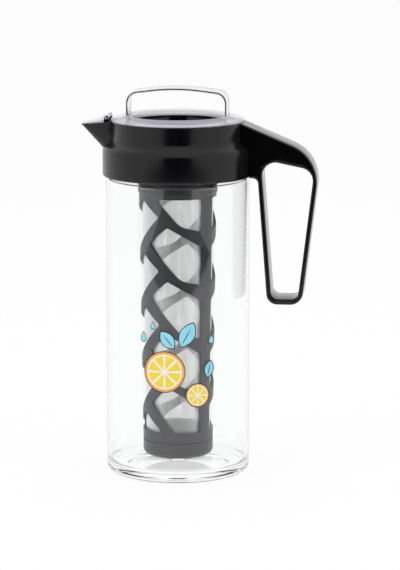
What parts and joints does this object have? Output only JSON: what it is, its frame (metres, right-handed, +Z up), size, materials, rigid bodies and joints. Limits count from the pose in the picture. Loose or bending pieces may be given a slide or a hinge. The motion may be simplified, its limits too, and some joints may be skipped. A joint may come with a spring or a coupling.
{
  "type": "iced tea maker",
  "caption": "Iced tea maker: glass jug with a black pouring collar and loop handle, a clear-rimmed lid with a steel bail, and a long lattice infuser that screws shut.",
  "frame": {"origin": "centre of the footprint of the whole object, on the plane it stands on", "axes": "+Z up, +X towards the handle, -X towards the spout, -Y towards the viewer of the picture"},
  "size_m": [0.1646, 0.1044, 0.2698],
  "materials": {
    "glass": "clear, polished",
    "black_plastic": "gloss",
    "clear_plastic": "clear plastic with a faint violet tint",
    "slate_plastic": "satin",
    "steel": "polished",
    "steel_mesh": "fine woven mesh",
    "silicone": "matte, translucent"
  },
  "bodies": {
    "jug": {"glass_jug": "glass", "neck_gasket": "silicone", "pouring_collar": "black_plastic", "carry_handle": "black_plastic", "flap_pin": "steel"},
    "flap": {"spout_flap": "clear_plastic"},
    "lid": {"lid_plug": "black_plastic", "lid_cover": "clear_plastic", "lid_seal": "silicone", "lid_bail": "steel"},
    "infuser": {"infuser_cage": "slate_plastic", "infuser_mesh": "steel_mesh"},
    "cap_ring": {"cap_seal": "silicone"},
    "cap": {"infuser_cap": "slate_plastic"}
  },
  "joints": [
    {"name": "flap_hinge", "type": "hinge", "parent": "jug", "child": "flap", "pos_m": [-0.06353, 0, 0.249], "axis": [0, 1, 0], "range_deg": [0, 85]},
    {"name": "lid_lift", "type": "slide", "parent": "jug", "child": "lid", "axis": [0, 0, 1], "range_m": [0, 0.24]},
    {"name": "infuser_twist", "type": "hinge", "parent": "lid", "child": "infuser", "pos_m": [-0.01513, 0, 0.218], "axis": [0, 0, 1], "range_deg": [0, 50]},
    {"name": "cap_drop", "type": "slide", "parent": "infuser", "child": "cap_ring", "axis": [0, 0, -1], "range_m": [0, 0.005]},
    {"name": "cap_turn", "type": "hinge", "parent": "cap_ring", "child": "cap", "pos_m": [-0.01513, 0, 0.0242], "axis": [0, 0, -1], "range_deg": [0, 900]}
  ],
  "couplings": [
    {"joint": "cap_drop", "follows": "cap_turn", "m_per_rad": 0.0003183}
  ]
}
